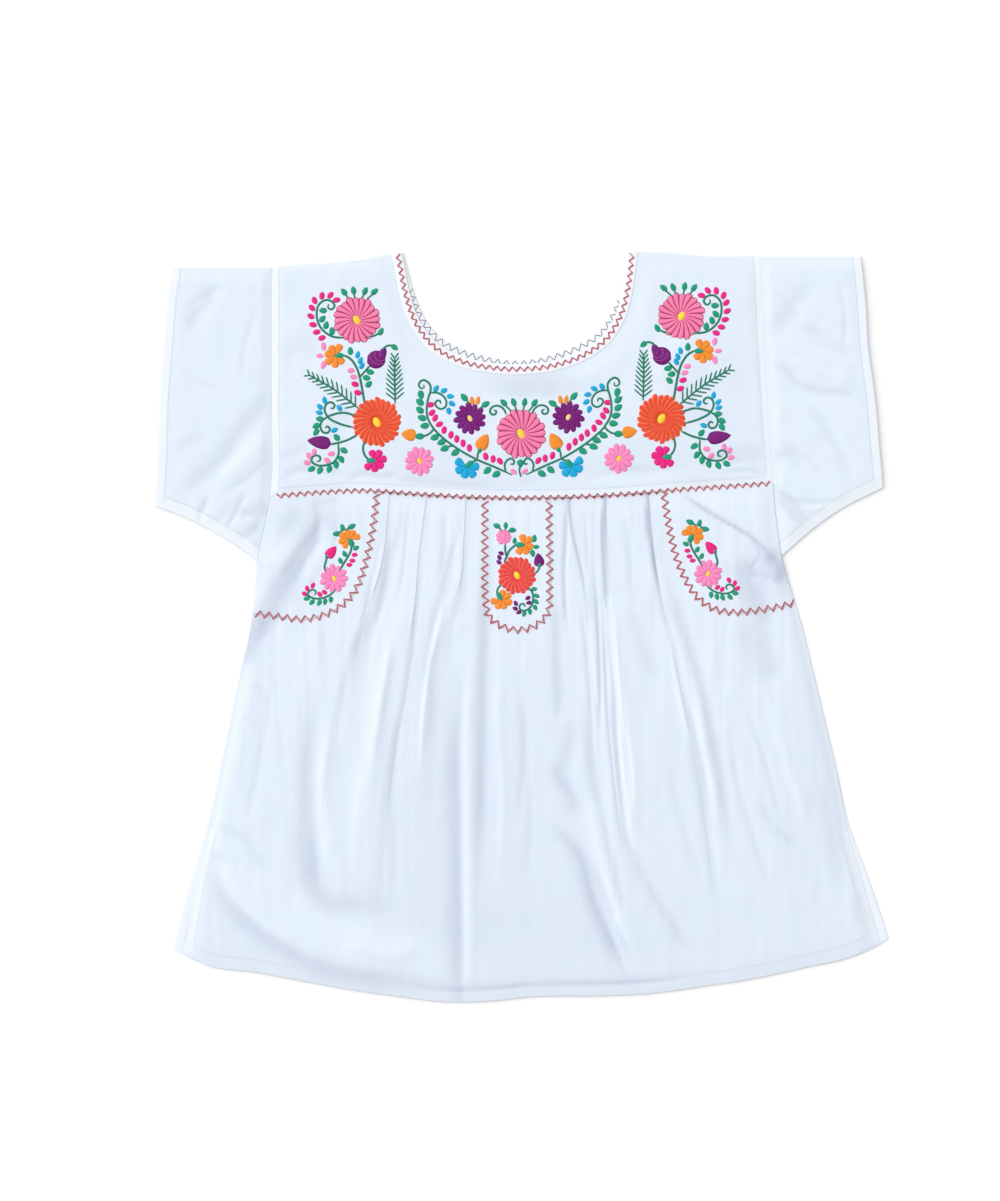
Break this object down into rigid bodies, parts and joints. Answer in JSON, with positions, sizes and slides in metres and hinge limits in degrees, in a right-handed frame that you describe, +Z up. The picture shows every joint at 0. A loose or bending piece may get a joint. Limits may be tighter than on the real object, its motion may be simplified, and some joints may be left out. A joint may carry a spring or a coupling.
{
  "type": "embroidered blouse",
  "caption": "Short-sleeved cotton blouse laid flat, with an embroidered yoke, pleated front, curved side panels, a centre tab and side slits.",
  "frame": {"origin": "middle of the flat underside, on the surface that the blouse lies on", "axes": "+Z up through the blouse from the surface, +Y from the hem to the neck, +X to the right in the picture"},
  "size_m": [0.6966, 0.7124, 0.0088],
  "materials": {
    "cotton": "thin bluish-white plain-weave cotton, slightly sheer",
    "doubled_cotton": "the same cotton doubled, so whiter",
    "embroidery": "shiny stranded thread in many colours, satin stitch"
  },
  "bodies": {
    "root": {"back_body": "cotton", "back_yoke": "cotton", "front_body": "cotton", "front_yoke": "cotton", "sleeve_left": "cotton", "sleeve_right": "cotton", "side_panel_left": "cotton", "side_panel_right": "cotton", "centre_tab": "cotton", "neck_band_front": "doubled_cotton", "neck_band_back": "doubled_cotton"}
  },
  "joints": []
}
